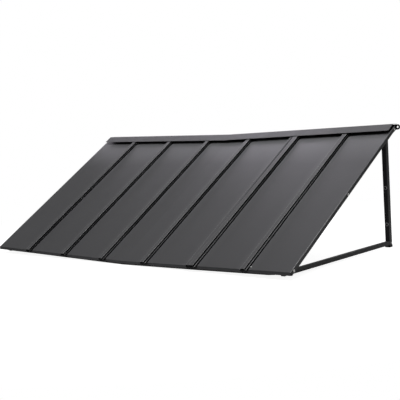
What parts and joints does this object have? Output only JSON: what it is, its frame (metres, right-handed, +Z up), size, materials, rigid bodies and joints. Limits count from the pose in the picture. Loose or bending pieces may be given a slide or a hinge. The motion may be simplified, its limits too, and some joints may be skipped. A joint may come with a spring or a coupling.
{
  "type": "door canopy",
  "caption": "Anthracite door canopy: a pitched roof of folded steel pans under raised seam caps, on rafters, cross beams and side brackets of square tube, for wall mounting",
  "frame": {"origin": "centre of the footprint in X and Y, at the height of the feet in Z", "axes": "X runs along the wall, the long way of the roof; +Y points at the wall; -Y is the front, where the eave is; +Z is up"},
  "size_m": [2.068, 0.9514, 0.6082],
  "materials": {
    "roof_sheet": "powder coated, satin",
    "seam_sheet": "powder coated, satin",
    "flashing_sheet": "powder coated, satin",
    "frame_tube": "powder coated, satin",
    "bracket_plate": "powder coated, black",
    "black_plastic": "matt",
    "bright_fastener": "bright zinc plated",
    "dark_fastener": "black"
  },
  "bodies": {
    "root": {"pan_1": "roof_sheet", "pan_2": "roof_sheet", "pan_3": "roof_sheet", "pan_4": "roof_sheet", "pan_5": "roof_sheet", "pan_6": "roof_sheet", "pan_7": "roof_sheet", "seam_cap_1": "seam_sheet", "seam_cap_2": "seam_sheet", "seam_cap_3": "seam_sheet", "seam_cap_4": "seam_sheet", "seam_cap_6": "seam_sheet", "wide_seam_strip": "seam_sheet", "wide_seam_cap": "seam_sheet", "seam_stop_1": "seam_sheet", "seam_stop_2": "seam_sheet", "seam_stop_3": "seam_sheet", "seam_stop_4": "seam_sheet", "seam_stop_5": "seam_sheet", "seam_stop_6": "seam_sheet", "ridge_flashing_left": "flashing_sheet", "ridge_flashing_right": "flashing_sheet", "eave_beam_left": "frame_tube", "eave_beam_right": "frame_tube", "eave_beam_sleeve": "frame_tube", "middle_beam_left": "frame_tube", "middle_beam_right": "frame_tube", "middle_beam_sleeve": "frame_tube", "ridge_beam_left": "frame_tube", "ridge_beam_right": "frame_tube", "ridge_beam_sleeve": "frame_tube", "rafter_left": "frame_tube", "rafter_right": "frame_tube", "post_left": "frame_tube", "post_right": "frame_tube", "strut_left": "frame_tube", "strut_right": "frame_tube", "spigot_left": "frame_tube", "spigot_right": "frame_tube", "wall_bracket_left": "bracket_plate", "wall_bracket_right": "bracket_plate", "foot_cap_left": "black_plastic", "foot_cap_right": "black_plastic", "strut_plug_left": "black_plastic", "strut_plug_right": "black_plastic", "pan_screw": "bright_fastener", "post_bolt_left": "bright_fastener", "post_bolt_right": "bright_fastener", "eave_beam_bolt_left": "bright_fastener", "eave_beam_bolt_right": "bright_fastener", "middle_beam_bolt_left": "bright_fastener", "middle_beam_bolt_right": "bright_fastener", "ridge_beam_bolt_left": "bright_fastener", "ridge_beam_bolt_right": "bright_fastener", "bracket_bolt_left": "dark_fastener", "bracket_bolt_right": "dark_fastener", "eave_beam_splice_screw": "dark_fastener", "middle_beam_splice_screw": "dark_fastener", "ridge_beam_splice_screw": "dark_fastener"}
  },
  "joints": []
}
